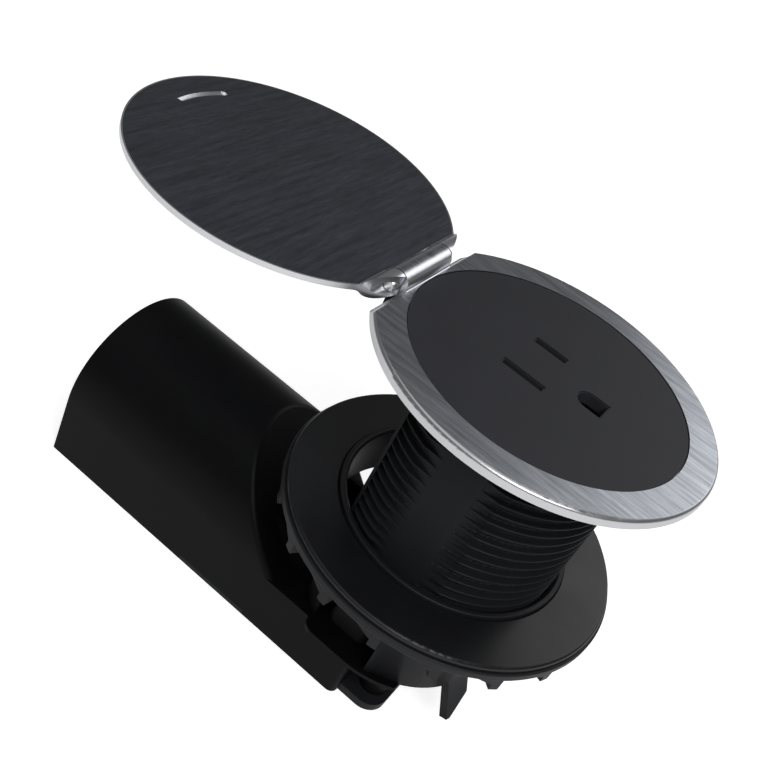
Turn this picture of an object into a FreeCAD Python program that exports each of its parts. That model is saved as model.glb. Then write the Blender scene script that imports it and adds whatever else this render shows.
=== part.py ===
import FreeCAD, Part
import math
import os

from FreeCAD import Vector

# Countertop outlet in millimetres. The origin is the centre of the flange ring's underside. Z runs
# up along the threaded tube and +Y points at the hinge. The lid lies fully open.

# Clearances
FIT = 0.02
STILL_GAP = 0.2
PIN_GAP = 0.05
MOVING_GAP = 0.3

# Threaded tube, from its bore outwards
TUBE_BORE_R = 19.6
TUBE_WALL = 2.05
ROOT_STEP = 0.56
THREAD_H = 1.15
THREAD_PITCH = 2.31
THREAD_SLOPE_L = 1.55
THREAD_CREST_L = 0.12
THREAD_DEPTH = 48.0
THREAD_LEAD_IN = 1.03
COLLAR_STEP = 1.84
COLLAR_H = 6.0
RIM_SEAT_W = 1.5
BAND_DEPTH = 1.51
FLAT_DEPTH = 7.96
FLAT_WALL = 2.3
FLAT_LAND = 0.8
WINDOW_W = 15.2
WINDOW_H = 22.0
TONGUE_DEG = -108.0
TONGUE_FLARE_DEG = 30.0
TONGUE_LEFT = 2.4
TONGUE_RIGHT = 3.65
TONGUE_T = 2.0
TONGUE_ROOT = 2.5
TONGUE_SHOULDER = 3.9
TONGUE_L = 8.5
TONGUE_TIP_W = 1.1
POST_R = 3.3
POST_H = 12.0
POST_X = 11.0
POST_SINK = 3.5

# Flange ring and its seal
WEB_W = 3.5
WEB_T = 0.75
RING_W = 6.3
FLANGE_T = 2.0
FLANGE_ROUND = 0.75
SEAL_INSET = 2.0
SEAL_T = 0.8

# Hinge and lid
HINGE_INSET = 3.5
HINGE_RISE = 0.65
KNUCKLE_R = 2.5
KNUCKLE_HALF = 8.5
TROUGH_GAP = 0.4
SADDLE_ROUND = 0.4
PIN_R = 1.25
PIN_SINK = 1.5
LID_INSET = 1.0
LID_T = 1.15
LID_LIFT = 0.05
LID_BLEND = 1.0
PULL_INSET = 6.6
PULL_W = 1.4
PULL_DEPTH = 0.5
PULL_FROM_DEG = 71.5
PULL_TO_DEG = 99.0

# Socket face and plug pattern
FACE_SINK = 0.15
FACE_BOSS_DEPTH = 1.35
SLOT_Y = 3.03
SLOT_SPACING = 12.7
SLOT_W = 1.6
NEUTRAL_L = 8.7
HOT_L = 6.9
SLOT_BEVEL = 0.25
GROUND_DROP = 11.9
GROUND_W = 4.9
GROUND_L = 5.6

# Receptacle core and contacts
CORE_RIM_H = 1.5
CORE_DEPTH = 38.6
CARRIER_INSET = 2.0
CARRIER_FRONT = 4.4
CARRIER_LIFT = 0.9
CARRIER_ROUND = 2.2
LEAF_T = 0.7
LEAF_W = 6.0
LEAF_L = 13.0
LEAF_SINK = 2.4
FOOT_L = 7.0
GROUND_SLEEVE_R = 2.4
GROUND_STRAP_W = 4.0

# Clamp nut and washer
CLAMP_DEPTH = 39.35
WASHER_W = 10.3
WASHER_T = 1.0
WASHER_ROUND = 0.6
NUT_OVERHANG = 0.6
NUT_T = 1.8
NUT_LIP_W = 1.0
NUT_LIP_H = 2.2
NUT_MOUTH_STEP = 0.54
NUT_ROUND = 0.35
HUB_W = 1.9
HUB_H = 7.8
LUG_COUNT = 18
LUG_END_DEG = 190.0
LUG_BLOCK_H = 3.4
LUG_BLOCK_W = 2.0
LUG_RAMP_H = 1.9
LUG_RAMP_L = 4.5
LUG_RADIAL = 3.3
LUG_INSET = 0.5

# Wiring box
DECK_DEPTH = 68.4
BOX_INSET = 1.65
BOX_H = 13.9
AXIS_RISE = 2.2
BOX_WALL = 2.0
BOX_FRONT_Y = -2.0
BOX_END_Y = 83.4
BOX_CORNER_R = 1.9
SLOPE_START_Y = 21.6
SLOPE_ROUND = 1.4
LIP_REACH = 1.45
LIP_T = 0.9
LIP_RISE = 0.3
LIP_W = 0.6
LIP_FRONT_Y = -12.0
LIP_SIDE_Y = 11.0
LIP_CORNER_R = 3.0
RIB_X = 11.8
RIB_T = 1.2
RIB_START = 2.6
RIB_H = 8.4
WIRE_WAY_X = 14.2
WIRE_WAY_Y = 8.2
BOSS_R = 3.4
BOSS_SINK = 0.2
FRONT_BOSS_X = 11.5
FRONT_BOSS_Y = -6.9
REAR_BOSS_BACK = 17.4
REAR_BOSS_H = 8.0
PEG_R = 1.0
PEG_X = 13.5
PEG_Y = -3.0
PEG_H = 7.0

# Box cover and cable entry
COVER_T = 2.0
COVER_FRONT_Y = -11.5
COVER_CORNER_R = 4.6
TAB_START_Y = 24.4
TAB_L = 18.8
TAB_H = 1.1
ENTRY_BORE_R = 7.5
ENTRY_BODY_W = 3.4
ENTRY_BODY_L = 7.0
ENTRY_RIM_W = 1.9
ENTRY_RIM_T = 1.6
LOCK_W = 2.5
LOCK_T = 2.6

# Screws: shank radius, length, head radius, head height
FLANGE_SCREW = (1.0, 4.6, 1.9, 0.7)
FACE_SCREW = (1.1, 8.0, 2.0, 1.4)
CORE_SCREW = (1.4, 9.0, 2.5, 1.3)
CASE_SCREW = (1.4, 8.0, 2.5, 1.3)
TERMINAL_SCREW = (1.7, 6.0, 2.7, 1.6)
FLANGE_SCREW_COUNT = 3
FACE_SCREW_X = 9.0
FACE_SCREW_Y = -11.0
FACE_SCREW_BITE = 0.7
CORE_SCREW_DEPTHS = (14.0, 30.0)
DRIVE_W = 0.5
DRIVE_DEPTH = 0.5
DRIVE_REACH = 0.7

# Levels and places that follow from the sizes above
BIG = 200.0
TUBE_R = TUBE_BORE_R + TUBE_WALL
ROOT_R = TUBE_R + ROOT_STEP
CREST_R = ROOT_R + THREAD_H
COLLAR_R = CREST_R + COLLAR_STEP
RIM_SEAT_R = TUBE_BORE_R + RIM_SEAT_W
BAND_X = CREST_R - BAND_DEPTH
FLAT_Y = CREST_R - FLAT_DEPTH
FLAT_INSIDE_Y = FLAT_Y - FLAT_WALL
POST_Y = FLAT_Y - POST_SINK
RECESS_R = COLLAR_R + WEB_W
FLANGE_R = RECESS_R + RING_W
SEAL_R = FLANGE_R - SEAL_INSET
HINGE_Y = FLANGE_R - HINGE_INSET
LID_R = FLANGE_R - LID_INSET
PULL_R = LID_R - PULL_INSET
TOP = FLANGE_T
FACE_TOP = TOP - FACE_SINK
HINGE_Z = TOP + HINGE_RISE
LID_Z0 = TOP + LID_LIFT
LID_Z1 = LID_Z0 + LID_T
LID_Y = 2 * HINGE_Y
SLOT_X = 0.5 * SLOT_SPACING
GROUND_Y = SLOT_Y - GROUND_DROP
CORE_TOP = WEB_T - FACE_BOSS_DEPTH
LEDGE = CORE_TOP - CORE_RIM_H
CORE_BOTTOM = -CORE_DEPTH
DECK_TOP = -DECK_DEPTH
DECK_UNDER = DECK_TOP - BOX_WALL
LIP_TOP = DECK_TOP + LIP_RISE
LIP_UNDER = LIP_TOP - LIP_T
CARRIER_X = TUBE_BORE_R - CARRIER_INSET
CARRIER_BOTTOM = DECK_TOP + CARRIER_LIFT
WASHER_TOP = -CLAMP_DEPTH
WASHER_BOTTOM = WASHER_TOP - WASHER_T
NUT_TOP = WASHER_BOTTOM - MOVING_GAP
NUT_BOTTOM = NUT_TOP - NUT_T
NUT_BORE_R = CREST_R + MOVING_GAP
NUT_MOUTH_R = NUT_BORE_R + NUT_MOUTH_STEP
NUT_LIP_R = NUT_MOUTH_R + NUT_LIP_W
WASHER_BORE_R = NUT_LIP_R + MOVING_GAP
WASHER_R = WASHER_BORE_R + WASHER_W
NUT_R = WASHER_R + NUT_OVERHANG
BOX_R = TUBE_R - BOX_INSET
BOX_AXIS = DECK_DEPTH - AXIS_RISE
BOX_BOTTOM = DECK_TOP - BOX_H
COVER_TOP = BOX_BOTTOM + COVER_T
LIP_R = TUBE_R + LIP_REACH
REAR_BOSS_X = BOX_R - BOX_WALL - BOSS_R + BOSS_SINK
REAR_BOSS_Y = BOX_END_Y - REAR_BOSS_BACK
ENTRY_R = ENTRY_BORE_R + ENTRY_BODY_W
ENTRY_RIM_R = ENTRY_R + ENTRY_RIM_W
LOCK_R = ENTRY_R + LOCK_W
FLANGE_SCREW_RING = 0.5 * (RIM_SEAT_R + FLANGE_SCREW[0] + COLLAR_R)


def box(x0, x1, y0, y1, z0, z1):
    return Part.makeBox(x1 - x0, y1 - y0, z1 - z0, Vector(x0, y0, z0))


def post(radius, z0, z1, x=0.0, y=0.0):
    return Part.makeCylinder(radius, z1 - z0, Vector(x, y, z0))


def rod_x(radius, x0, x1, y, z):
    return Part.makeCylinder(radius, x1 - x0, Vector(x0, y, z), Vector(1, 0, 0))


def rod_y(radius, y0, y1, z):
    return Part.makeCylinder(radius, y1 - y0, Vector(0, y0, z), Vector(0, 1, 0))


def turned(points, degrees=360):
    wire = Part.makePolygon([Vector(r, 0, z) for r, z in points + points[:1]])
    return Part.Face(wire).revolve(Vector(0, 0, 0), Vector(0, 0, 1), degrees)


def prism_x(points, x0, x1):
    wire = Part.makePolygon([Vector(x0, y, z) for y, z in points + points[:1]])
    return Part.Face(wire).extrude(Vector(x1 - x0, 0, 0))


def moved(shape, x, y, z):
    copy = shape.copy()
    copy.translate(Vector(x, y, z))
    return copy


def spun(shape, degrees, axis=Vector(0, 0, 1)):
    copy = shape.copy()
    copy.rotate(Vector(0, 0, 0), axis, degrees)
    return copy


def flipped(shape):
    return shape.mirror(Vector(0, 0, 0), Vector(1, 0, 0))


def mirrored_pair(shape):
    return [shape, flipped(shape)]


def cut_all(body, tools):
    for tool in tools:
        body = body.cut(tool)
    return body


def fuse_all(body, pieces):
    for piece in pieces:
        body = body.fuse(piece)
    return body.removeSplitter()


def upright_edges(shape, x, y):
    found = []
    for edge in shape.Edges:
        ends = [vertex.Point for vertex in edge.Vertexes]
        near = [math.hypot(end.x - x, end.y - y) < 1e-4 for end in ends]
        if len(ends) == 2 and all(near):
            found.append(edge)
    return found


def ring_edges(shape, radius, z):
    found = []
    for edge in shape.Edges:
        if isinstance(edge.Curve, Part.Circle) and abs(edge.Curve.Radius - radius) < 1e-4:
            if abs(edge.Curve.Center.z - z) < 1e-4:
                found.append(edge)
    return found


# Screws stand head up with the shank's top at the origin

def screw(size, countersunk=False):
    radius, length, head_r, head_h = size
    shank = post(radius, -length, 0)
    if countersunk:
        head = Part.makeCone(radius, head_r, head_h, Vector(0, 0, -head_h))
        top = 0.0
    else:
        head = post(head_r, 0, head_h)
        top = head_h
    reach = DRIVE_REACH * head_r
    drive = box(-reach, reach, -0.5 * DRIVE_W, 0.5 * DRIVE_W, top - DRIVE_DEPTH, top)
    cross = drive.fuse(spun(drive, 90))
    return shank.fuse(head).cut(cross).removeSplitter()


def screw_hole(size, extra):
    return post(size[0] + FIT, -size[1] - extra, extra)


def from_below(shape):
    return spun(shape, 180, Vector(1, 0, 0))


def flange_screw_places(shape):
    step = 360.0 / FLANGE_SCREW_COUNT
    start = moved(shape, 0, -FLANGE_SCREW_RING, WEB_T)
    return [spun(start, step * number) for number in range(FLANGE_SCREW_COUNT)]


def core_screw_places(shape):
    lying = spun(shape, -90, Vector(1, 0, 0))
    return [moved(lying, 0, FLAT_Y, -depth) for depth in CORE_SCREW_DEPTHS]


def face_screw_places(shape):
    reach = FACE_SCREW_BITE * (FACE_TOP - CORE_TOP)
    head_level = CORE_TOP + reach - FACE_SCREW[1]
    return mirrored_pair(moved(from_below(shape), FACE_SCREW_X, FACE_SCREW_Y, head_level))


def foot_screw_places(shape):
    return mirrored_pair(moved(from_below(shape), POST_X, POST_Y, DECK_UNDER))


def cover_screw_places(shape):
    sink = COVER_T - CASE_SCREW[3] - FIT
    level = COVER_TOP - sink
    front = moved(from_below(shape), FRONT_BOSS_X, FRONT_BOSS_Y, level)
    rear = moved(from_below(shape), REAR_BOSS_X, REAR_BOSS_Y, level)
    return mirrored_pair(front) + mirrored_pair(rear)


# Flange ring with the middle knuckle of the hinge

def hinge_trough():
    radius = KNUCKLE_R + TROUGH_GAP
    trough = rod_x(radius, KNUCKLE_HALF, BIG, HINGE_Y, HINGE_Z)
    behind = box(KNUCKLE_HALF, BIG, HINGE_Y, BIG, -BIG, BIG)
    return trough.fuse(behind)


def knuckle_saddle():
    y0 = HINGE_Y - KNUCKLE_R - SADDLE_ROUND
    z1 = TOP + SADDLE_ROUND
    block = box(-KNUCKLE_HALF, KNUCKLE_HALF, y0, HINGE_Y, 0, z1)
    scoop = rod_x(SADDLE_ROUND, -BIG, BIG, y0, z1)
    return block.cut(scoop).cut(post(RECESS_R, WEB_T, BIG))


def flange_ring():
    disc = post(FLANGE_R, 0, TOP)
    disc = disc.makeFillet(FLANGE_ROUND, ring_edges(disc, FLANGE_R, TOP))
    disc = disc.cut(post(RECESS_R, WEB_T, TOP))
    disc = disc.cut(post(RIM_SEAT_R, 0, WEB_T))
    disc = disc.cut(box(-BIG, BIG, HINGE_Y, BIG, LID_Z0 - MOVING_GAP, BIG))
    disc = cut_all(disc, mirrored_pair(hinge_trough()))
    knuckle = rod_x(KNUCKLE_R, -KNUCKLE_HALF, KNUCKLE_HALF, HINGE_Y, HINGE_Z)
    body = fuse_all(disc, [knuckle, knuckle_saddle()])
    body = body.cut(rod_x(PIN_R + FIT, -BIG, BIG, HINGE_Y, HINGE_Z))
    shank_r = FLANGE_SCREW[0] + FIT
    head_h = FLANGE_SCREW[3]
    sink = Part.makeCone(shank_r, FLANGE_SCREW[2] + FIT, head_h, Vector(0, 0, -head_h))
    hole = sink.fuse(post(shank_r, -WEB_T, 0))
    return cut_all(body, flange_screw_places(hole))


def flange_gasket():
    return post(SEAL_R, -SEAL_T, 0).cut(post(COLLAR_R + STILL_GAP, -SEAL_T, 0))


def hinge_pin():
    half = math.sqrt(LID_R ** 2 - HINGE_Y ** 2) - PIN_SINK
    pin = rod_x(PIN_R, -half, half, HINGE_Y, HINGE_Z)
    ends = [edge for edge in pin.Edges if isinstance(edge.Curve, Part.Circle)]
    return pin.makeChamfer(0.2 * PIN_R, ends)


# Lid, swung fully open

def lid_blank():
    plate = box(-LID_R, LID_R, HINGE_Y, LID_Y + LID_R, LID_Z0, LID_Z1)
    barrel = rod_x(KNUCKLE_R, -LID_R, LID_R, HINGE_Y, HINGE_Z)
    body = plate.fuse(barrel)
    corners = []
    for edge in body.Edges:
        middle = edge.CenterOfMass
        inside = HINGE_Y + 0.5 * KNUCKLE_R < middle.y < HINGE_Y + KNUCKLE_R
        if inside and abs(middle.x) < FIT and edge.Length > LID_R:
            corners.append(edge)
    return body.makeFillet(LID_BLEND, corners)


def finger_pull():
    floor = LID_Z1 - PULL_DEPTH
    inner = PULL_R - 0.5 * PULL_W
    ring = post(inner + PULL_W, floor, LID_Z1).cut(post(inner, floor, LID_Z1))
    sweep = PULL_TO_DEG - PULL_FROM_DEG
    wedge = Part.makeCylinder(LID_R, PULL_DEPTH, Vector(0, 0, floor), Vector(0, 0, 1), sweep)
    return moved(ring.common(spun(wedge, PULL_FROM_DEG)), 0, LID_Y, 0)


def lid():
    body = lid_blank().common(post(LID_R, -BIG, BIG, 0, LID_Y))
    gap_x = KNUCKLE_HALF + MOVING_GAP
    body = body.cut(rod_x(KNUCKLE_R + MOVING_GAP, -gap_x, gap_x, HINGE_Y, HINGE_Z))
    body = body.cut(box(-gap_x, gap_x, -BIG, BIG, LID_Z1, BIG))
    body = body.cut(box(-gap_x, gap_x, -BIG, BIG, -BIG, LID_Z0))
    body = body.cut(rod_x(PIN_R + PIN_GAP, -BIG, BIG, HINGE_Y, HINGE_Z))
    return body.cut(finger_pull())


# Socket face

def slot(x, length, grow, z0, z1):
    half_w = 0.5 * SLOT_W + grow
    half_l = 0.5 * length + grow
    return box(x - half_w, x + half_w, SLOT_Y - half_l, SLOT_Y + half_l, z0, z1)


def ground_hole(grow, z0, z1):
    radius = 0.5 * GROUND_W + grow
    flat_y = GROUND_Y - (GROUND_L - 0.5 * GROUND_W) - grow
    return post(radius, z0, z1, 0, GROUND_Y).fuse(box(-radius, radius, flat_y, GROUND_Y, z0, z1))


def plug_holes(grow, z0, z1):
    neutral = slot(-SLOT_X, NEUTRAL_L, grow, z0, z1)
    hot = slot(SLOT_X, HOT_L, grow, z0, z1)
    return [neutral, hot, ground_hole(grow, z0, z1)]


def socket_face():
    plate = post(RECESS_R - STILL_GAP, WEB_T, FACE_TOP)
    boss = post(RIM_SEAT_R - STILL_GAP, CORE_TOP, WEB_T)
    body = plate.fuse(boss)
    body = cut_all(body, plug_holes(0, CORE_TOP, FACE_TOP))
    body = cut_all(body, plug_holes(SLOT_BEVEL, FACE_TOP - SLOT_BEVEL, FACE_TOP))
    return cut_all(body, face_screw_places(screw_hole(FACE_SCREW, 0)))


# Receptacle core and its contacts

def contact_room(side):
    half_w = 0.5 * SLOT_W + LEAF_T + STILL_GAP
    y0 = SLOT_Y - 0.5 * LEAF_W - STILL_GAP
    y1 = SLOT_Y + 0.5 * LEAF_W + STILL_GAP
    floor = CORE_TOP - LEAF_SINK - LEAF_L - LEAF_T - STILL_GAP
    room = box(SLOT_X - half_w, SLOT_X + half_w, y0, y1, floor, CORE_TOP)
    strap_x = SLOT_X + 0.5 * SLOT_W - STILL_GAP
    strap = box(strap_x, SLOT_X + half_w, y0, y1, CARRIER_BOTTOM, floor)
    return room.fuse(strap) if side > 0 else flipped(room.fuse(strap))


def ground_room():
    radius = GROUND_SLEEVE_R + LEAF_T + STILL_GAP
    floor = CORE_TOP - LEAF_SINK - LEAF_L
    sleeve = post(radius, floor, CORE_TOP, 0, GROUND_Y)
    half_w = 0.5 * GROUND_STRAP_W + STILL_GAP
    y0 = GROUND_Y - radius
    strap = box(-half_w, half_w, y0, y0 + LEAF_T + 3 * STILL_GAP, CORE_BOTTOM, CORE_TOP)
    return sleeve.fuse(strap)


def receptacle_core():
    flat_y = FLAT_INSIDE_Y - STILL_GAP
    barrel = post(TUBE_BORE_R - STILL_GAP, CORE_BOTTOM, LEDGE)
    barrel = barrel.common(box(-BIG, BIG, -BIG, flat_y, CORE_BOTTOM, LEDGE))
    rim = post(RIM_SEAT_R - STILL_GAP, LEDGE, CORE_TOP)
    rim = rim.common(box(-BIG, BIG, -BIG, flat_y, LEDGE, CORE_TOP))
    y0 = SLOT_Y - CARRIER_FRONT
    y1 = POST_Y - POST_R - STILL_GAP
    carrier = box(-CARRIER_X, CARRIER_X, y0, y1, CARRIER_BOTTOM, CORE_BOTTOM)
    corners = []
    for x in (-CARRIER_X, CARRIER_X):
        corners += upright_edges(carrier, x, y0) + upright_edges(carrier, x, y1)
    carrier = carrier.makeFillet(CARRIER_ROUND, corners)
    body = fuse_all(barrel, [rim, carrier])
    body = cut_all(body, [contact_room(1), contact_room(-1), ground_room()])
    body = cut_all(body, core_screw_places(screw_hole(CORE_SCREW, 0)))
    body = cut_all(body, face_screw_places(screw_hole(FACE_SCREW, 0)))
    shaft = post(FACE_SCREW[2] + STILL_GAP, 0, BIG)
    body = cut_all(body, face_screw_places(shaft))
    body = cut_all(body, terminal_places(screw_hole(TERMINAL_SCREW, 0)))
    return body.cut(ground_terminal(screw_hole(TERMINAL_SCREW, 0)))


def blade_contact(side):
    top = CORE_TOP - LEAF_SINK
    bottom = top - LEAF_L
    x0 = SLOT_X - 0.5 * SLOT_W
    x1 = SLOT_X + 0.5 * SLOT_W
    y0 = SLOT_Y - 0.5 * LEAF_W
    y1 = SLOT_Y + 0.5 * LEAF_W
    inner_leaf = box(x0 - LEAF_T, x0, y0, y1, bottom, top)
    base = box(x0 - LEAF_T, x1, y0, y1, bottom - LEAF_T, bottom)
    strap = box(x1, x1 + LEAF_T, y0, y1, CARRIER_BOTTOM - LEAF_T, top)
    foot = box(x1, x1 + FOOT_L, y0, y1, CARRIER_BOTTOM - LEAF_T, CARRIER_BOTTOM)
    body = fuse_all(inner_leaf, [base, strap, foot])
    body = body.cut(terminal_places(screw_hole(TERMINAL_SCREW, 0))[0])
    return body if side > 0 else flipped(body)


def terminal_places(shape):
    x = SLOT_X + 0.5 * SLOT_W + 0.5 * (LEAF_T + FOOT_L)
    return mirrored_pair(moved(from_below(shape), x, SLOT_Y, CARRIER_BOTTOM - LEAF_T))


def ground_terminal(shape):
    y = GROUND_Y - GROUND_SLEEVE_R + 0.5 * FOOT_L
    return moved(from_below(shape), 0, y, CORE_BOTTOM - LEAF_T)


def ground_contact():
    top = CORE_TOP - LEAF_SINK
    outer = GROUND_SLEEVE_R + LEAF_T
    sleeve = post(outer, top - LEAF_L, top, 0, GROUND_Y)
    sleeve = sleeve.cut(post(GROUND_SLEEVE_R, top - LEAF_L, top, 0, GROUND_Y))
    half_w = 0.5 * GROUND_STRAP_W
    mouth = box(-0.5 * half_w, 0.5 * half_w, GROUND_Y, BIG, -BIG, BIG)
    y0 = GROUND_Y - outer
    strap = box(-half_w, half_w, y0, y0 + LEAF_T, CORE_BOTTOM - LEAF_T, top - 0.5 * LEAF_L)
    foot = box(-half_w, half_w, y0, y0 + FOOT_L, CORE_BOTTOM - LEAF_T, CORE_BOTTOM)
    body = fuse_all(sleeve.cut(mouth), [strap, foot])
    body = body.cut(post(GROUND_SLEEVE_R, top - LEAF_L, top, 0, GROUND_Y))
    return body.cut(ground_terminal(screw_hole(TERMINAL_SCREW, 0)))


# Threaded tube

def flatted(radius, flat_x, flat_y, z0, z1):
    return post(radius, z0, z1).common(box(-flat_x, flat_x, -BIG, flat_y, z0, z1))


def thread_groove():
    height = THREAD_DEPTH + 2 * THREAD_PITCH
    ledge = THREAD_LEAD_IN - COLLAR_H - height
    slope_end = ledge + THREAD_PITCH - THREAD_CREST_L
    mouth = CREST_R + THREAD_CREST_L
    section = [(ROOT_R, ledge), (mouth, ledge), (mouth, slope_end), (CREST_R, slope_end),
               (ROOT_R, slope_end - THREAD_SLOPE_L)]
    outline = Part.makePolygon([Vector(r, 0, z) for r, z in section + section[:1]])
    path = moved(Part.makeHelix(THREAD_PITCH, height, ROOT_R), 0, 0, ledge)
    groove = Part.Wire(path).makePipeShell([outline], True, True)
    end_y = FLAT_Y - FLAT_LAND
    return groove.common(box(-BIG, BIG, -BIG, end_y, -THREAD_DEPTH, -COLLAR_H))


def tongue():
    points = [(-TONGUE_LEFT, TONGUE_ROOT), (-TONGUE_LEFT, -TONGUE_L), (TONGUE_TIP_W - TONGUE_LEFT, -TONGUE_L),
              (TONGUE_RIGHT, -TONGUE_SHOULDER), (TONGUE_RIGHT, TONGUE_ROOT)]
    plate = prism_x(points, -TONGUE_T, 0)
    flared = spun(plate, -TONGUE_FLARE_DEG, Vector(0, 1, 0))
    return spun(moved(flared, TUBE_R, 0, DECK_TOP), TONGUE_DEG)


def threaded_tube():
    collar = post(COLLAR_R, -COLLAR_H, 0)
    thread = flatted(CREST_R, BAND_X, FLAT_Y, -THREAD_DEPTH, -COLLAR_H).cut(thread_groove())
    foot = flatted(TUBE_R, BAND_X, FLAT_Y, DECK_TOP, -THREAD_DEPTH)
    body = fuse_all(collar, [thread, foot])
    body = body.cut(flatted(TUBE_BORE_R, BIG, FLAT_INSIDE_Y, DECK_TOP, LEDGE))
    body = body.cut(post(RIM_SEAT_R, LEDGE, 0))
    half = 0.5 * WINDOW_W
    body = body.cut(box(-BIG, BIG, SLOT_Y - half, SLOT_Y + half, DECK_TOP, DECK_TOP + WINDOW_H))
    foot_posts = mirrored_pair(post(POST_R, DECK_TOP, DECK_TOP + POST_H, POST_X, POST_Y))
    body = fuse_all(body, foot_posts + [tongue()])
    body = cut_all(body, foot_screw_places(screw_hole(CASE_SCREW, 0)))
    body = cut_all(body, core_screw_places(screw_hole(CORE_SCREW, 0)))
    return cut_all(body, flange_screw_places(screw_hole(FLANGE_SCREW, 0)))


# Clamp washer and nut

def clamp_washer():
    ring = post(WASHER_R, WASHER_BOTTOM, WASHER_TOP)
    ring = ring.makeFillet(WASHER_ROUND, ring_edges(ring, WASHER_R, WASHER_TOP))
    return ring.cut(post(WASHER_BORE_R, WASHER_BOTTOM, WASHER_TOP))


def nut_lug():
    inner = NUT_R - LUG_INSET - LUG_RADIAL
    points = [(0, NUT_BOTTOM), (0, NUT_BOTTOM - LUG_BLOCK_H),
              (-LUG_BLOCK_W, NUT_BOTTOM - LUG_BLOCK_H), (-LUG_BLOCK_W, NUT_BOTTOM - LUG_RAMP_H),
              (-LUG_BLOCK_W - LUG_RAMP_L, NUT_BOTTOM)]
    block = prism_x(points, inner, NUT_R)
    reach = post(inner + LUG_RADIAL, NUT_BOTTOM - LUG_BLOCK_H, NUT_BOTTOM)
    return block.common(reach)


def clamp_nut():
    lip_top = NUT_TOP + NUT_LIP_H
    mouth = lip_top - NUT_MOUTH_STEP
    hub_r = NUT_BORE_R + HUB_W
    hub_bottom = NUT_BOTTOM - HUB_H
    points = [(NUT_BORE_R, hub_bottom), (hub_r, hub_bottom), (hub_r, NUT_BOTTOM), (NUT_R, NUT_BOTTOM),
              (NUT_R, NUT_TOP), (NUT_LIP_R, NUT_TOP), (NUT_LIP_R, lip_top), (NUT_MOUTH_R, lip_top),
              (NUT_BORE_R, mouth)]
    body = turned(points)
    rounded = ring_edges(body, NUT_R, NUT_BOTTOM) + ring_edges(body, NUT_R, NUT_TOP)
    rounded += ring_edges(body, NUT_LIP_R, lip_top) + ring_edges(body, NUT_MOUTH_R, lip_top)
    body = body.makeFillet(NUT_ROUND, rounded)
    step = 360.0 / LUG_COUNT
    lugs = [spun(nut_lug(), LUG_END_DEG + step * number) for number in range(LUG_COUNT)]
    return fuse_all(body, lugs)


# Wiring box

def arch(inset, y0, y1, z0):
    radius = BOX_R - inset
    body = rod_y(radius, y0, y1, -BOX_AXIS).fuse(box(-radius, radius, y0, y1, z0, -BOX_AXIS))
    return body.common(box(-BIG, BIG, y0, y1, z0, BIG)).removeSplitter()


def side_profile(inset, z0):
    slope_sum = SLOPE_START_Y - DECK_TOP + inset * math.sqrt(2)
    deck = DECK_TOP - inset
    peak = BOX_R - BOX_AXIS + BOX_WALL
    points = [(BOX_FRONT_Y + inset, z0), (BOX_FRONT_Y + inset, deck), (slope_sum + deck, deck),
              (slope_sum + peak, peak), (BOX_END_Y - inset, peak), (BOX_END_Y - inset, z0)]
    return prism_x(points, -BIG, BIG)


def box_block():
    body = arch(0, BOX_FRONT_Y, BOX_END_Y, BOX_BOTTOM).common(side_profile(0, BOX_BOTTOM))
    corners = upright_edges(body, BOX_R, BOX_FRONT_Y) + upright_edges(body, -BOX_R, BOX_FRONT_Y)
    body = body.makeFillet(BOX_CORNER_R, corners)
    slope_edges = []
    for edge in body.Edges:
        if isinstance(edge.Curve, Part.Ellipse):
            slope_edges.append(edge)
    return body.makeFillet(SLOPE_ROUND, slope_edges)


def deck_outline(inset, z0, z1):
    reach = LIP_R - inset
    front_y = LIP_FRONT_Y + inset
    side_y = LIP_SIDE_Y - inset
    disc = post(reach, z0, z1).common(box(-BIG, BIG, front_y, 0, z0, z1))
    sides = box(-reach, reach, 0, side_y, z0, z1)
    corners = upright_edges(sides, reach, side_y) + upright_edges(sides, -reach, side_y)
    return fuse_all(disc, [sides.makeFillet(LIP_CORNER_R - inset, corners)])


def foot_plate():
    plate = deck_outline(0, LIP_UNDER, LIP_TOP)
    plate = plate.cut(deck_outline(LIP_W, DECK_TOP, LIP_TOP))
    plate = plate.cut(box(-BOX_R, BOX_R, 0, BIG, DECK_TOP, LIP_TOP))
    return plate.cut(post(TUBE_R + STILL_GAP, DECK_TOP, LIP_TOP))


def slope_rib():
    top = DECK_TOP + RIB_H
    inside_y = SLOPE_START_Y + 0.5 * BOX_WALL
    front_y = SLOPE_START_Y - RIB_START
    points = [(front_y, DECK_TOP), (inside_y, DECK_TOP), (inside_y + RIB_H, top), (front_y, top)]
    return prism_x(points, RIB_X, RIB_X + RIB_T)


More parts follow.
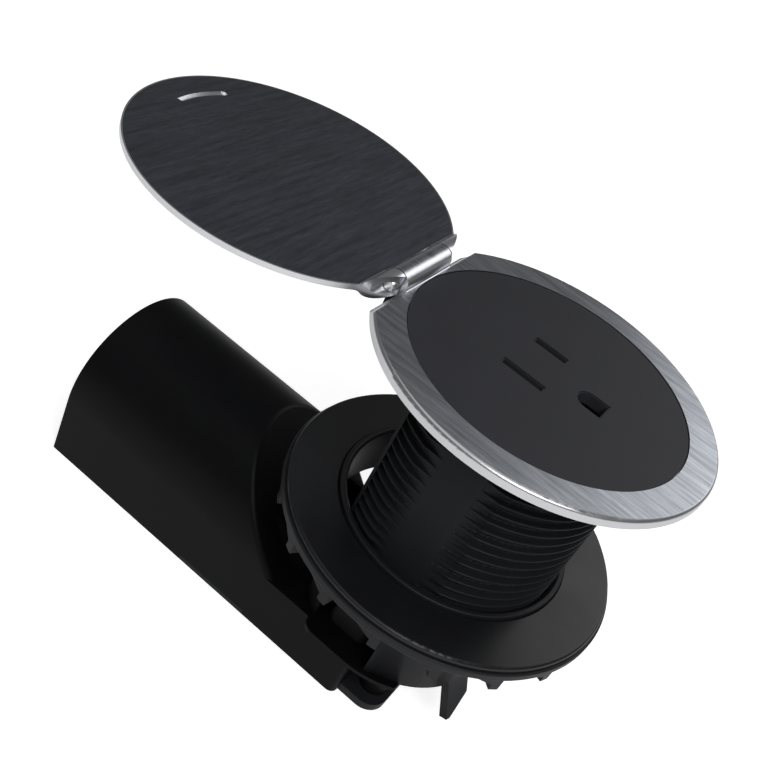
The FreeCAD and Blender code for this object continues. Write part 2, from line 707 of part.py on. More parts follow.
def box_housing():
    body = box_block()
    inside = arch(BOX_WALL, BOX_FRONT_Y, BOX_END_Y, -BIG).common(side_profile(BOX_WALL, -BIG))
    body = body.cut(inside)
    mouth_x = BOX_R - BOX_WALL
    body = body.cut(box(-mouth_x, mouth_x, BOX_FRONT_Y, 0, BOX_BOTTOM, COVER_TOP))
    pieces = mirrored_pair(slope_rib()) + [foot_plate()]
    pieces += mirrored_pair(post(BOSS_R, COVER_TOP, LIP_UNDER, FRONT_BOSS_X, FRONT_BOSS_Y))
    pieces += mirrored_pair(post(PEG_R, LIP_UNDER - PEG_H, LIP_UNDER, PEG_X, PEG_Y))
    pieces += mirrored_pair(post(BOSS_R, COVER_TOP, COVER_TOP + REAR_BOSS_H, REAR_BOSS_X, REAR_BOSS_Y))
    body = fuse_all(body, pieces)
    body = body.cut(box(-WIRE_WAY_X, WIRE_WAY_X, 0, WIRE_WAY_Y, DECK_UNDER, DECK_TOP))
    body = body.cut(rod_y(ENTRY_R + FIT, BOX_END_Y - 2 * BOX_WALL, BIG, -BOX_AXIS))
    notch = box(mouth_x, BIG, TAB_START_Y - FIT, TAB_START_Y + TAB_L + FIT, BOX_BOTTOM,
                BOX_BOTTOM + TAB_H + FIT)
    body = cut_all(body, mirrored_pair(notch))
    body = cut_all(body, cover_screw_places(screw_hole(CASE_SCREW, 0)))
    return cut_all(body, foot_screw_places(screw_hole(CASE_SCREW, 0)))


def box_cover():
    half = BOX_R - BOX_WALL - STILL_GAP
    end_y = BOX_END_Y - BOX_WALL - STILL_GAP
    plate = box(-half, half, COVER_FRONT_Y, end_y, BOX_BOTTOM, COVER_TOP)
    corners = upright_edges(plate, half, COVER_FRONT_Y) + upright_edges(plate, -half, COVER_FRONT_Y)
    body = plate.makeFillet(COVER_CORNER_R, corners)
    tab = box(0, BOX_R, TAB_START_Y, TAB_START_Y + TAB_L, BOX_BOTTOM, BOX_BOTTOM + TAB_H)
    body = fuse_all(body, mirrored_pair(tab))
    body = cut_all(body, cover_screw_places(post(CASE_SCREW[2] + STILL_GAP, 0, BIG)))
    return cut_all(body, cover_screw_places(screw_hole(CASE_SCREW, 0)))


def cable_bushing():
    rim = rod_y(ENTRY_RIM_R, BOX_END_Y, BOX_END_Y + ENTRY_RIM_T, -BOX_AXIS)
    rim = rim.makeFillet(0.4 * ENTRY_RIM_T, rim.Edges)
    body = rim.fuse(rod_y(ENTRY_R, BOX_END_Y - ENTRY_BODY_L, BOX_END_Y, -BOX_AXIS))
    return body.cut(rod_y(ENTRY_BORE_R, -BIG, BIG, -BOX_AXIS)).removeSplitter()


def bushing_locknut():
    y1 = BOX_END_Y - BOX_WALL
    ring = rod_y(LOCK_R, y1 - LOCK_T, y1, -BOX_AXIS)
    return ring.cut(rod_y(ENTRY_R + FIT, -BIG, BIG, -BOX_AXIS))


def save(name, shape):
    if isinstance(shape, list):
        shape = Part.makeCompound(shape)
    shape.exportStep("parts/" + name + ".step")


os.makedirs("parts", exist_ok=True)
save("flange_ring", flange_ring())
save("flange_gasket", flange_gasket())
save("flange_screws", flange_screw_places(screw(FLANGE_SCREW, True)))
save("hinge_pin", hinge_pin())
save("lid", lid())
save("socket_face", socket_face())
save("face_screws", face_screw_places(screw(FACE_SCREW)))
save("receptacle_core", receptacle_core())
save("hot_contact", blade_contact(1))
save("neutral_contact", blade_contact(-1))
save("ground_contact", ground_contact())
save("terminal_screws", terminal_places(screw(TERMINAL_SCREW)))
save("ground_screw", ground_terminal(screw(TERMINAL_SCREW)))
save("threaded_tube", threaded_tube())
save("core_screws", core_screw_places(screw(CORE_SCREW)))
save("clamp_washer", clamp_washer())
save("clamp_nut", clamp_nut())
save("box_housing", box_housing())
save("foot_screws", foot_screw_places(screw(CASE_SCREW)))
save("box_cover", box_cover())
save("cover_screws", cover_screw_places(screw(CASE_SCREW)))
save("cable_bushing", cable_bushing())
save("bushing_locknut", bushing_locknut())
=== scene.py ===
"""Countertop outlet: a round flush socket with a hinged lid, a threaded tube and a wiring box."""

import math

import bmesh
import bpy
from mathutils import Matrix, Vector


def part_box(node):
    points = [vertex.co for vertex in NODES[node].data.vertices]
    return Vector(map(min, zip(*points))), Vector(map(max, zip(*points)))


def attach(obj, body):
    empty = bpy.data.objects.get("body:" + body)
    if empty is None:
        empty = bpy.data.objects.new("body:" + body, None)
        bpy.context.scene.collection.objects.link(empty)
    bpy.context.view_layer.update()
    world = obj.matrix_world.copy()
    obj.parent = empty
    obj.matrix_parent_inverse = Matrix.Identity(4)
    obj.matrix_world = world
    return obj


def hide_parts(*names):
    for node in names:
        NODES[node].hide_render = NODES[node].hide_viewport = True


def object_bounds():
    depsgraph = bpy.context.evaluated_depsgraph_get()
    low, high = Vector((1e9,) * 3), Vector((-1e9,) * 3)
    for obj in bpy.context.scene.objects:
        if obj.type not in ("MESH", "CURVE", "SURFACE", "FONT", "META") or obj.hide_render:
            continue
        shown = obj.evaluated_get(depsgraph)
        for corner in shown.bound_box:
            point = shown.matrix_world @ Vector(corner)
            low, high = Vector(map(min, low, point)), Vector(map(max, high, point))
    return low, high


bl_info = {
    "name": "Countertop outlet",
    "version": (1, 0, 0),
    "blender": (4, 5, 0),
    "location": "3D View > Sidebar > Outlet",
    "description": "Dresses the countertop outlet and lights it on a white floor",
    "category": "Object",
}

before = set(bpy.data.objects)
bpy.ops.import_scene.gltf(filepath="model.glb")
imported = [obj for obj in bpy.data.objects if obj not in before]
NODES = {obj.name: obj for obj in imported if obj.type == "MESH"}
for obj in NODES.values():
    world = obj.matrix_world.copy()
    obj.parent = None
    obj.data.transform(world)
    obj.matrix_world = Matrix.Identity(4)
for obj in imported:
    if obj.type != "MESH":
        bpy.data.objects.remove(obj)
CAD_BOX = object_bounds()
MM = 0.001

# Meshes: how finely round ones are divided, and how they are welded and shaded
RIDGE_STEPS = 300  # in one turn of the thread
LAND_STEPS = 4
RING_STEPS = 180
WELD = 0.0002 * MM
SHARP_EDGE = math.radians(30.0)

# Thread: how its pieces lap into each other
RIDGE_FOOT = 0.4 * MM  # from the root into the tube
RIDGE_EDGE = 0.1 * MM  # broken off the crest
SIDE_SKIN = 0.02 * MM  # from the side flats in to the ridge
REAR_LAP = 0.05 * MM  # of the ridge into the rear strips
TOP_LAP = 0.01 * MM  # of the ridge over the thread's top
RING_WIDTH = 1.0 * MM  # of the turning ring past the crest
RING_BELOW = 0.3 * MM  # of the turning ring past the thread's bottom
RING_SHORT = 0.02 * MM  # from the thread's top down to the turning ring
FEWEST_FACES = 100  # that the turned tube has if the cut worked

# Metal: where the brushed faces end, and how dull each surface is
LID_RIM = 0.3 * MM
LID_RIM_BLUR = 0.06 * MM
HINGE_BAND = (34.15 * MM, 34.3 * MM)  # along Y, where the bright hinge turns into the dark face
PULL_LEVEL = (2.9 * MM, 3.0 * MM)  # over the lid's lowest point, between the pull's floor and the face
PULL_SHADE = (27.35 * MM, 27.45 * MM)  # from the lid's centre, where the bright half of the pull begins
FLAT_BAND = (0.9, 0.99)  # upward part of the normal, from an edge to a flat face
RIM_SHADE = 0.9
RIM_ROUGHNESS = 0.3
RING_ROUGHNESS = 0.34
LID_ROUGHNESS = 0.42

# Studio: floor, lamps and camera
FLOOR_TONES = ((0.86, 0.86, 0.86), (0.88, 0.88, 0.88))
FLOOR_ROUGHNESS = 0.9
FLOOR_DROP = 0.02 * MM
FLOOR_GLOW = 0.7
FLOOR_GLOW_MIRRORED = 0.28
BACKDROP_LEVEL = 1.0
LAMP_TARGET = (0.0, 0.02, -0.03)
FRONT_LAMP = {"place": (-0.45, -0.35, 0.55), "size": (0.5, 0.4)}
RING_LAMP = {"place": (0.82, -0.24, 0.50), "size": (0.5, 0.5)}
TOP_LAMP = {"place": (-0.08, 0.0, 0.85), "size": (1.2, 1.2)}
CAMERA_RIGHT = (0.5144, -0.7640, 0.3892)
CAMERA_DOWN = (-0.3580, -0.6038, -0.7122)
SENSOR_WIDTH = 36.0
CLIP_START = 0.01


class ThreadSizes(bpy.types.PropertyGroup):
    """Sizes of the tube's thread."""

    pitch: bpy.props.FloatProperty(
        name="Pitch", description="Rise of the thread in one turn", default=2.31 * MM, unit="LENGTH"
    )
    crest: bpy.props.FloatProperty(
        name="Crest radius", description="Radius over the thread", default=23.36 * MM, unit="LENGTH"
    )
    root: bpy.props.FloatProperty(
        name="Root radius", description="Radius between the ridges", default=22.21 * MM, unit="LENGTH"
    )
    land: bpy.props.FloatProperty(
        name="Crest land", description="Height of a ridge's outer edge", default=0.16 * MM, unit="LENGTH"
    )
    slope: bpy.props.FloatProperty(
        name="Slope", description="Height of the cone under a ridge", default=1.55 * MM, unit="LENGTH"
    )
    ledge: bpy.props.FloatProperty(
        name="First ledge",
        description="Height of a ridge's top on the X axis",
        default=-50.66 * MM,
        unit="LENGTH",
    )
    side_flat: bpy.props.FloatProperty(
        name="Side flat",
        description="Distance of the side flats from the axis",
        default=21.85 * MM,
        unit="LENGTH",
    )
    rear_end: bpy.props.FloatProperty(
        name="Rear end",
        description="Distance from the axis where the ridges end",
        default=14.6 * MM,
        unit="LENGTH",
    )
    rear_flat: bpy.props.FloatProperty(
        name="Rear flat",
        description="Distance of the rear flat from the axis",
        default=15.4 * MM,
        unit="LENGTH",
    )
    top: bpy.props.FloatProperty(
        name="Top", description="Height where the thread begins", default=-6.0 * MM, unit="LENGTH"
    )
    bottom: bpy.props.FloatProperty(
        name="Bottom", description="Height where the thread ends", default=-48.0 * MM, unit="LENGTH"
    )


class FinishColours(bpy.types.PropertyGroup):
    """Colours of the outlet's finishes."""

    ring: bpy.props.FloatVectorProperty(
        name="Ring metal",
        description="Brushed flange ring and outside of the lid",
        default=(0.415, 0.435, 0.475),
        subtype="COLOR",
    )
    rim: bpy.props.FloatVectorProperty(
        name="Bright rim",
        description="Polished edges of the ring and lid",
        default=(0.78, 0.785, 0.81),
        subtype="COLOR",
    )
    lid: bpy.props.FloatVectorProperty(
        name="Lid face",
        description="Dark brushed face inside the lid",
        default=(0.138, 0.147, 0.174),
        subtype="COLOR",
    )
    face: bpy.props.FloatVectorProperty(
        name="Socket face",
        description="Charcoal socket face",
        default=(0.0305, 0.031, 0.0375),
        subtype="COLOR",
    )
    plastic: bpy.props.FloatVectorProperty(
        name="Black plastic",
        description="Tube, washer, nut and wiring box",
        default=(0.0063, 0.0065, 0.0074),
        subtype="COLOR",
    )
    brass: bpy.props.FloatVectorProperty(
        name="Brass", description="Contacts", default=(0.78, 0.55, 0.22), subtype="COLOR"
    )
    steel: bpy.props.FloatVectorProperty(
        name="Plated steel", description="Screws and hinge pin", default=(0.62, 0.62, 0.63), subtype="COLOR"
    )
    rubber: bpy.props.FloatVectorProperty(
        name="Rubber", description="Seal under the flange", default=(0.008, 0.008, 0.008), subtype="COLOR"
    )


class StudioSettings(bpy.types.PropertyGroup):
    """Camera, lamps and floor."""

    eye: bpy.props.FloatVectorProperty(
        name="Camera",
        description="Where the camera stands",
        default=(-0.167621, -0.022194, 0.101821),
        subtype="TRANSLATION",
    )
    lens: bpy.props.FloatProperty(
        name="Lens", description="Focal length on a 36 mm wide sensor", default=50.0, unit="CAMERA"
    )
    floor_half: bpy.props.FloatProperty(
        name="Floor", description="Half the floor's width", default=6.0, unit="LENGTH"
    )
    key: bpy.props.FloatProperty(
        name="Front lamp", description="Strength of the front lamp", default=2.7, unit="POWER"
    )
    side: bpy.props.FloatProperty(
        name="Ring lamp", description="Strength of the lamp beside the ring", default=1.3, unit="POWER"
    )
    fill: bpy.props.FloatProperty(
        name="Top lamp", description="Strength of the lamp overhead", default=2.2, unit="POWER"
    )
    world: bpy.props.FloatProperty(name="Room light", description="Level of the room's light", default=0.13)


def shade(colour, factor):
    """The colour made darker or lighter by a factor."""
    return tuple(min(1.0, channel * factor) for channel in colour)


class Finish:
    """Small builder for one procedural material, in the object's own coordinates."""

    def __init__(self, name):
        self.material = bpy.data.materials.new(name)
        self.material.use_nodes = True
        self.tree = self.material.node_tree
        self.shader = self.tree.nodes["Principled BSDF"]
        coordinates = self.node("ShaderNodeTexCoord")
        self.place = coordinates.outputs["Object"]
        self.facing = coordinates.outputs["Normal"]

    def feed(self, socket, value):
        """Links a socket into another one, or gives it a number, vector or colour."""
        if isinstance(value, bpy.types.NodeSocket):
            self.tree.links.new(value, socket)
        elif socket.type == "RGBA":
            socket.default_value = (*value, 1.0)
        else:
            socket.default_value = value

    def node(self, kind, inputs=None, **settings):
        """A new node with its settings, its inputs fed."""
        node = self.tree.nodes.new(kind)
        for key, value in settings.items():
            setattr(node, key, value)
        for key, value in (inputs or {}).items():
            self.feed(node.inputs[key], value)
        return node

    def set(self, **values):
        """Feeds the shader's own inputs, named with underscores."""
        for key, value in values.items():
            self.feed(self.shader.inputs[key.replace("_", " ")], value)

    def noise(self, scale, detail, roughness=0.55, by_axis=(1.0, 1.0, 1.0)):
        """Noise of a scale per metre, times a factor along each axis."""
        mapped = self.node("ShaderNodeMapping", {"Vector": self.place, "Scale": by_axis})
        inputs = {"Vector": mapped.outputs[0], "Scale": scale, "Detail": detail, "Roughness": roughness}
        return self.node("ShaderNodeTexNoise", inputs).outputs["Fac"]

    def span(self, value, low, high, to_low=0.0, to_high=1.0):
        """The value, taken from the span of low to high to that of to_low to to_high."""
        inputs = {0: value, 1: low, 2: high, 3: to_low, 4: to_high}
        return self.node("ShaderNodeMapRange", inputs).outputs[0]

    def math(self, operation, first, second=0.0):
        """The outcome of one sum."""
        return self.node("ShaderNodeMath", {0: first, 1: second}, operation=operation).outputs[0]

    def product(self, first, second):
        """One value times another."""
        return self.math("MULTIPLY", first, second)

    def mix(self, factor, first, second):
        """One colour where the factor is 0, the other where it is 1."""
        mixer = self.node("ShaderNodeMix", data_type="RGBA")
        colours = [socket for socket in mixer.inputs if socket.type == "RGBA"]
        self.feed(mixer.inputs[0], factor)
        self.feed(colours[0], first)
        self.feed(colours[1], second)
        return next(socket for socket in mixer.outputs if socket.type == "RGBA")

    def tones(self, factor, colour, darkest, lightest):
        """A colour between its darkest and its lightest shade."""
        return self.mix(factor, shade(colour, darkest), shade(colour, lightest))

    def bump(self, height, strength, distance):
        """A normal that follows the height."""
        inputs = {"Height": height, "Strength": strength, "Distance": distance}
        return self.node("ShaderNodeBump", inputs).outputs[0]

    def part(self, vector, axis):
        """A vector's part along X, Y or Z."""
        return self.node("ShaderNodeSeparateXYZ", {0: vector}).outputs[axis]

    def radius(self, y):
        """Distance from an upright axis that stands at x 0 and at the given y."""
        centred = self.node("ShaderNodeVectorMath", {0: self.place, 1: (0.0, y, 0.0)}, operation="SUBTRACT")
        level = {0: centred.outputs[0], 1: (1.0, 1.0, 0.0)}
        flat = self.node("ShaderNodeVectorMath", level, operation="MULTIPLY")
        return self.node("ShaderNodeVectorMath", {0: flat.outputs[0]}, operation="LENGTH").outputs["Value"]


def dress(node_name, material):
    """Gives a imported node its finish."""
    mesh = NODES[node_name].data
    mesh.materials.clear()
    mesh.materials.append(material)


def brushed_ring_finish(colours):
    """Metal brushed along the ring's flat faces, with plain bright edges."""
    finish = Finish("brushed_ring")
    streaks = finish.noise(1.0, detail=4.0, roughness=0.65, by_axis=(10000.0, 190.0, 10000.0))
    broad = finish.noise(1.0, detail=2.0, roughness=0.5, by_axis=(900.0, 40.0, 900.0))
    grain = finish.span(finish.product(streaks, finish.span(broad, 0.3, 0.7, 0.75, 1.25)), 0.3, 0.7)
    flat = finish.span(finish.part(finish.facing, "Z"), *FLAT_BAND)
    brushed = finish.tones(grain, colours.ring, darkest=0.58, lightest=1.34)
    finish.set(
        Base_Color=finish.mix(flat, shade(colours.rim, RIM_SHADE), brushed),
        Metallic=1.0,
        Roughness=finish.span(flat, 0.0, 1.0, RIM_ROUGHNESS, RING_ROUGHNESS),
        Normal=finish.bump(finish.product(streaks, flat), strength=0.25, distance=0.02 * MM),
    )
    return finish.material


def lid_finish(colours):
    """Metal brushed across the lid, dark inside and silver outside, with a bright rim, hinge and pull."""
    finish = Finish("brushed_lid")
    low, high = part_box("lid")
    disc_radius = 0.5 * (high[0] - low[0])
    edge = disc_radius - LID_RIM
    streaks = finish.noise(1.0, detail=4.0, roughness=0.62, by_axis=(300.0, 11000.0, 11000.0))
    broad = finish.noise(1.0, detail=2.0, roughness=0.5, by_axis=(60.0, 900.0, 900.0))
    grain = finish.span(finish.product(streaks, finish.span(broad, 0.3, 0.7, 0.8, 1.2)), 0.28, 0.72)
    up = finish.part(finish.facing, "Z")
    outer_face = finish.span(up, -0.5, 0.5, 1.0, 0.0)
    flat = finish.span(finish.math("ABSOLUTE", up), *FLAT_BAND)
    from_centre = finish.radius(high[1] - disc_radius)
    inside = finish.span(from_centre, edge - LID_RIM_BLUR, edge, 1.0, 0.0)
    past_hinge = finish.span(finish.part(finish.place, "Y"), *HINGE_BAND)
    pull_level = [low[2] + level for level in PULL_LEVEL]
    over_pull = finish.span(finish.part(finish.place, "Z"), *pull_level)
    pull_shade = finish.span(from_centre, *PULL_SHADE, 1.0, 0.0)
    dull = finish.math("MAXIMUM", finish.math("MAXIMUM", over_pull, pull_shade), outer_face)
    face = finish.product(finish.product(inside, flat), finish.product(past_hinge, dull))
    dark = finish.tones(grain, colours.lid, darkest=0.6, lightest=1.5)
    pale = finish.tones(grain, colours.ring, darkest=0.7, lightest=1.25)
    finish.set(
        Base_Color=finish.mix(face, colours.rim, finish.mix(outer_face, dark, pale)),
        Metallic=1.0,
        Roughness=finish.span(face, 0.0, 1.0, RIM_ROUGHNESS, LID_ROUGHNESS),
        Normal=finish.bump(streaks, strength=0.2, distance=0.02 * MM),
    )
    return finish.material


def moulded_finish(name, colour, roughness, grain=0.12, gloss=0.22):
    """Plastic or rubber with a fine grain and slight clouds in its tone and gloss."""
    finish = Finish(name)
    spark = finish.noise(5200.0, detail=2.0, roughness=0.6)
    cloud = finish.noise(90.0, detail=3.0)
    finish.set(
        Base_Color=finish.tones(finish.span(cloud, 0.3, 0.7), colour, darkest=0.93, lightest=1.07),
        Roughness=finish.span(cloud, 0.3, 0.7, roughness - 0.03, roughness + 0.03),
        Normal=finish.bump(spark, strength=grain, distance=0.03 * MM),
        Specular_IOR_Level=gloss,
    )
    return finish.material


def plated_finish(name, colour, roughness):
    """Plated or stamped metal with a light haze."""
    finish = Finish(name)
    haze = finish.noise(700.0, detail=3.0, roughness=0.6)
    finish.set(
        Base_Color=finish.tones(finish.span(haze, 0.3, 0.7), colour, darkest=0.88, lightest=1.08),
        Metallic=1.0,
        Roughness=finish.span(haze, 0.3, 0.7, roughness - 0.05, roughness + 0.06),
        Normal=finish.bump(haze, strength=0.1, distance=0.02 * MM),
    )
    return finish.material


def floor_finish():
    """Matte white that glows a little to the camera and less in reflections."""
    finish = Finish("white_floor")
    speckle = finish.noise(14.0, detail=2.0)
    white = finish.mix(finish.span(speckle, 0.3, 0.7), *FLOOR_TONES)
    finish.set(Base_Color=white, Roughness=FLOOR_ROUGHNESS)
    path = finish.node("ShaderNodeLightPath")
    seen = finish.product(path.outputs["Is Camera Ray"], FLOOR_GLOW)
    mirrored = finish.product(path.outputs["Is Glossy Ray"], FLOOR_GLOW_MIRRORED)
    glow = finish.node("ShaderNodeEmission", {"Strength": finish.math("ADD", seen, mirrored)})
    both = finish.node("ShaderNodeAddShader", {0: finish.shader.outputs[0], 1: glow.outputs[0]})
    finish.tree.links.new(both.outputs[0], finish.tree.nodes["Material Output"].inputs[0])
    return finish.material


def mesh_object(name, points, faces):
    """A new object of the points and faces."""
    mesh = bpy.data.meshes.new(name)
    mesh.from_pydata(points, [], faces)
    mesh.update()
    piece = bpy.data.objects.new(name, mesh)
    bpy.context.scene.collection.objects.link(piece)
    return piece


def finish_mesh(piece):
    """Welds the mesh, faces its normals outwards and keeps its sharp edges sharp."""
    builder = bmesh.new()
    builder.from_mesh(piece.data)
    bmesh.ops.remove_doubles(builder, verts=builder.verts, dist=WELD)
    bmesh.ops.recalc_face_normals(builder, faces=builder.faces)
    builder.to_mesh(piece.data)
    builder.free()
    piece.data.polygons.foreach_set("use_smooth", [True] * len(piece.data.polygons))
    piece.data.set_sharp_from_angle(angle=SHARP_EDGE)


def wound_ridge(sizes):
    """Points and faces of the buttress ridge, its ends and flats drawn in to their planes."""
    foot = sizes.root - RIDGE_FOOT
    under = -sizes.land - sizes.slope
    profile = [
        (foot, 0.0),
        (sizes.crest - RIDGE_EDGE, 0.0),
        (sizes.crest, -RIDGE_EDGE),
        (sizes.crest, -RIDGE_EDGE - sizes.land),
        (sizes.root, under),
        (foot, under),
    ]
    first = math.floor((sizes.bottom - sizes.ledge) / sizes.pitch * RIDGE_STEPS)
    last = math.ceil((sizes.top - sizes.ledge - under) / sizes.pitch * RIDGE_STEPS)
    side = sizes.side_flat - SIDE_SKIN
    rear = sizes.rear_end + REAR_LAP
    top = sizes.top + TOP_LAP
    points = []
    for step in range(first, last + 1):
        angle = 2.0 * math.pi * step / RIDGE_STEPS
        level = sizes.ledge + sizes.pitch * step / RIDGE_STEPS
        for radius, drop in profile:
            x = max(-side, min(side, radius * math.cos(angle)))
            y = min(rear, radius * math.sin(angle))
            points.append((x, y, max(sizes.bottom, min(top, level + drop))))
    size = len(profile)
    faces = []
    for step in range(last - first):
        low = step * size
        for corner in range(size):
            after = (corner + 1) % size
            faces.append((low + corner, low + size + corner, low + size + after, low + after))
    return points, faces


def rear_land(sizes, sign):
    """Points and faces of the smooth strip between the ridges' ends and the rear flat."""
    outline = [(math.sqrt(sizes.root**2 - sizes.rear_end**2) - RIDGE_FOOT, sizes.rear_end)]
    for part in range(LAND_STEPS + 1):
        y = sizes.rear_end + (sizes.rear_flat - sizes.rear_end) * part / LAND_STEPS
        outline.append((math.sqrt(sizes.crest**2 - y**2), y))
    outline.append((math.sqrt(sizes.root**2 - sizes.rear_flat**2), sizes.rear_flat))
    points = [(sign * x, y, z) for z in (sizes.bottom, sizes.top) for x, y in outline]
    size = len(outline)
    faces = [tuple(range(size)), tuple(range(2 * size - 1, size - 1, -1))]
    faces += [(i, size + i, size + (i + 1) % size, (i + 1) % size) for i in range(size)]
    return points, faces


def turning_ring(sizes):
    """The ring of plastic outside the thread's root, as an object to cut away."""
    low = sizes.bottom - RING_BELOW
    high = sizes.top - RING_SHORT
    outer = sizes.crest + RING_WIDTH
    corners = [(sizes.root, low), (outer, low), (outer, high), (sizes.root, high)]
    size = len(corners)
    points = []
    faces = []
    for step in range(RING_STEPS):
        angle = 2.0 * math.pi * step / RING_STEPS
        points += [(radius * math.cos(angle), radius * math.sin(angle), z) for radius, z in corners]
        here = size * step
        there = size * ((step + 1) % RING_STEPS)
        for corner in range(size):
            after = (corner + 1) % size
            faces.append((here + corner, there + corner, there + after, here + after))
    ring = mesh_object("turning_ring", points, faces)
    finish_mesh(ring)
    return ring


def turned_tube(solid, sizes):
    """A copy of the tube, turned down to the thread's root."""
    tube = bpy.data.objects.new("tube_body", solid.data.copy())
    tube.matrix_world = solid.matrix_world.copy()
    bpy.context.scene.collection.objects.link(tube)
    finish_mesh(tube)
    ring = turning_ring(sizes)
    turning = tube.modifiers.new("turning", "BOOLEAN")
    turning.operation = "DIFFERENCE"
    turning.solver = "EXACT"
    turning.object = ring
    shown = bpy.context.evaluated_depsgraph_get()
    turned = bpy.data.meshes.new_from_object(tube.evaluated_get(shown))
    if len(turned.polygons) < FEWEST_FACES:
        raise RuntimeError("turning the tube down to its root failed")
    tube.modifiers.clear()
    tube.data = turned
    bpy.data.objects.remove(ring)
    finish_mesh(tube)
    return tube


def thread_piece(name, points, faces, material):
    """One moulded piece of the thread, in the tube's own plastic."""
    piece = mesh_object(name, points, faces)
    finish_mesh(piece)
    piece.data.materials.append(material)
    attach(piece, "outlet")


class OUTLET_OT_mouldings(bpy.types.Operator):
    """Gives the plastic mouldings their satin and matte black finishes, in lighter and darker copies of one
    black plastic that paint in light and shade
    """

    bl_idname = "outlet.mouldings"
    bl_label = "Mouldings"

    def execute(self, context):
        colours = context.scene.outlet_colours
        plastic = colours.plastic
        # Painted light and shade: these factors make lighter and darker copies of the one black plastic
        # that even out how light falls on each part, with the tube, nut and cover lightened most where they
        # sit in shade
        tube = moulded_finish("satin_tube", shade(plastic, 3.2), roughness=0.42, gloss=0.1)
        washer = moulded_finish("satin_washer", shade(plastic, 1.6), roughness=0.34, gloss=0.42)
        nut = moulded_finish("satin_nut", shade(plastic, 2.3), roughness=0.45, gloss=0.25)
        housing = moulded_finish("satin_box", shade(plastic, 0.9), roughness=0.42, gloss=0.1)
        cover = moulded_finish("satin_cover", shade(plastic, 3.0), roughness=0.45, gloss=0.2)
        bushing = moulded_finish("nylon_bushing", shade(plastic, 1.3), roughness=0.5)
        dress("socket_face", moulded_finish("matte_face", colours.face, roughness=0.55))
        dress("receptacle_core", moulded_finish("matte_core", shade(plastic, 1.5), roughness=0.6))
        dress("threaded_tube", tube)
        dress("clamp_washer", washer)
        dress("clamp_nut", nut)
        dress("box_housing", housing)
        dress("box_cover", cover)
        for name in ("cable_bushing", "bushing_locknut"):
            dress(name, bushing)
        return {"FINISHED"}


class OUTLET_OT_metal(bpy.types.Operator):
    """Gives the flange ring, the lid and the hinge pin their metal"""

    bl_idname = "outlet.metal"
    bl_label = "Ring and lid"

    def execute(self, context):
        colours = context.scene.outlet_colours
        dress("flange_ring", brushed_ring_finish(colours))
        dress("lid", lid_finish(colours))
        dress("hinge_pin", plated_finish("drawn_pin", colours.steel, roughness=0.3))
        return {"FINISHED"}


class OUTLET_OT_hardware(bpy.types.Operator):
    """Gives the screws, contacts and seal their finishes"""

    bl_idname = "outlet.hardware"
    bl_label = "Screws, contacts and seal"

    def execute(self, context):
        colours = context.scene.outlet_colours
        plated = plated_finish("plated_screw", colours.steel, roughness=0.3)
        for name in ("flange_screws", "face_screws", "core_screws", "foot_screws", "cover_screws"):
            dress(name, plated)
        terminal = plated_finish("plated_terminal", colours.steel, roughness=0.35)
        for name in ("terminal_screws", "ground_screw"):
            dress(name, terminal)
        brass = plated_finish("stamped_brass", colours.brass, roughness=0.3)
        for name in ("hot_contact", "neutral_contact", "ground_contact"):
            dress(name, brass)
        dress("flange_gasket", moulded_finish("seal_rubber", colours.rubber, roughness=0.7, grain=0.3))
        return {"FINISHED"}


class OUTLET_OT_thread(bpy.types.Operator):
    """Shows the tube with its whole thread, wound over the body turned down to the thread's root"""

    bl_idname = "outlet.thread"
    bl_label = "Threaded tube"

    def execute(self, context):
        sizes = context.scene.outlet_thread
        solid = NODES["threaded_tube"]
        plastic = solid.data.materials[0]
        tube = turned_tube(solid, sizes)
        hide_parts("threaded_tube")
        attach(tube, "outlet")
        thread_piece("thread_ridge", *wound_ridge(sizes), plastic)
        thread_piece("tube_land_left", *rear_land(sizes, -1.0), plastic)
        thread_piece("tube_land_right", *rear_land(sizes, 1.0), plastic)
        return {"FINISHED"}


def lamp(name, watts, place, size):
    """A soft rectangular lamp that faces the outlet."""
    data = bpy.data.lights.new(name, "AREA")
    data.shape = "RECTANGLE"
    data.size, data.size_y = size
    data.energy = watts
    thing = bpy.data.objects.new(name, data)
    thing.location = place
    aim = Vector(LAMP_TARGET) - Vector(place)
    thing.rotation_euler = aim.to_track_quat("-Z", "Y").to_euler()
    bpy.context.scene.collection.objects.link(thing)


def white_floor(half):
    """A square floor just under the outlet."""
    level = CAD_BOX[0][2] - FLOOR_DROP
    corners = [(-half, -half, level), (half, -half, level), (half, half, level), (-half, half, level)]
    floor = mesh_object("studio_floor", corners, [(0, 1, 2, 3)])
    floor.data.materials.append(floor_finish())


def room_light(level):
    """White behind everything for the camera, and the given level of light for all else."""
    world = bpy.data.worlds.new("room")
    world.use_nodes = True
    tree = world.node_tree
    room = tree.nodes["Background"]
    room.inputs["Color"].default_value = (1.0, 1.0, 1.0, 1.0)
    room.inputs["Strength"].default_value = level
    white = tree.nodes.new("ShaderNodeBackground")
    white.inputs["Strength"].default_value = BACKDROP_LEVEL
    path = tree.nodes.new("ShaderNodeLightPath")
    chooser = tree.nodes.new("ShaderNodeMixShader")
    tree.links.new(path.outputs["Is Camera Ray"], chooser.inputs[0])
    tree.links.new(room.outputs[0], chooser.inputs[1])
    tree.links.new(white.outputs[0], chooser.inputs[2])
    tree.links.new(chooser.outputs[0], tree.nodes["World Output"].inputs[0])
    bpy.context.scene.world = world


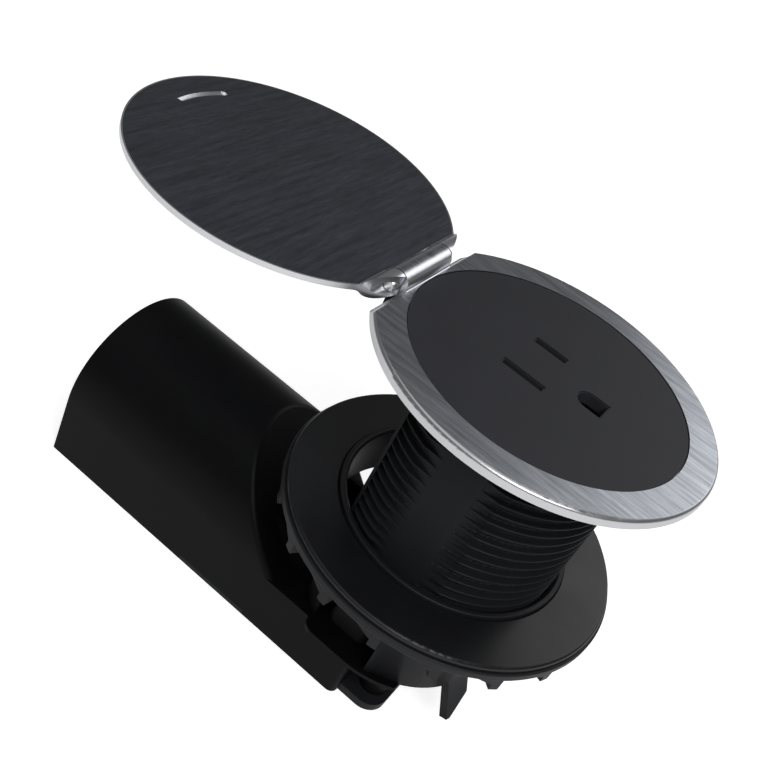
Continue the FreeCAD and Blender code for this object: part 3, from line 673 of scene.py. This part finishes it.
def photo_camera(place, lens):
    """The camera where the photo was taken, looking the same way."""
    camera = bpy.data.cameras.new("photo_camera")
    camera.lens = lens
    camera.sensor_width = SENSOR_WIDTH
    camera.clip_start = CLIP_START
    eye = bpy.data.objects.new("photo_camera", camera)
    across = Vector(CAMERA_RIGHT).normalized()
    rise = -Vector(CAMERA_DOWN)
    up = (rise - across * across.dot(rise)).normalized()
    turn = Matrix((across, up, across.cross(up))).transposed()
    eye.matrix_world = Matrix.Translation(place) @ turn.to_4x4()
    bpy.context.scene.collection.objects.link(eye)
    bpy.context.scene.camera = eye


class OUTLET_OT_stage(bpy.types.Operator):
    """Sets the white floor, the soft lamps, the room light and the camera"""

    bl_idname = "outlet.stage"
    bl_label = "Studio"

    def execute(self, context):
        studio = context.scene.outlet_studio
        white_floor(studio.floor_half)
        lamp("front_lamp", studio.key, **FRONT_LAMP)
        lamp("ring_lamp", studio.side, **RING_LAMP)
        lamp("top_lamp", studio.fill, **TOP_LAMP)
        room_light(studio.world)
        photo_camera(studio.eye, studio.lens)
        context.scene.view_settings.view_transform = "Standard"
        return {"FINISHED"}


class OUTLET_PT_panel(bpy.types.Panel):
    """Buttons and sizes of the outlet"""

    bl_label = "Countertop outlet"
    bl_idname = "OUTLET_PT_panel"
    bl_space_type = "VIEW_3D"
    bl_region_type = "UI"
    bl_category = "Outlet"

    def draw(self, context):
        for group_name in GROUPS:
            group = getattr(context.scene, group_name)
            column = self.layout.column()
            for name in group.__annotations__:
                column.prop(group, name)
        for operator in OPERATORS:
            self.layout.operator(operator.bl_idname)


OPERATORS = (OUTLET_OT_mouldings, OUTLET_OT_metal, OUTLET_OT_hardware, OUTLET_OT_thread, OUTLET_OT_stage)
GROUPS = {"outlet_thread": ThreadSizes, "outlet_colours": FinishColours, "outlet_studio": StudioSettings}
CLASSES = (*GROUPS.values(), *OPERATORS, OUTLET_PT_panel)


def register():
    for item in CLASSES:
        bpy.utils.register_class(item)
    for name, group in GROUPS.items():
        setattr(bpy.types.Scene, name, bpy.props.PointerProperty(type=group))


def unregister():
    for name in GROUPS:
        delattr(bpy.types.Scene, name)
    for item in reversed(CLASSES):
        bpy.utils.unregister_class(item)


def main():
    register()
    bpy.ops.outlet.mouldings()
    bpy.ops.outlet.metal()
    bpy.ops.outlet.hardware()
    bpy.ops.outlet.thread()
    bpy.ops.outlet.stage()


if __name__ == "__main__":
    main()
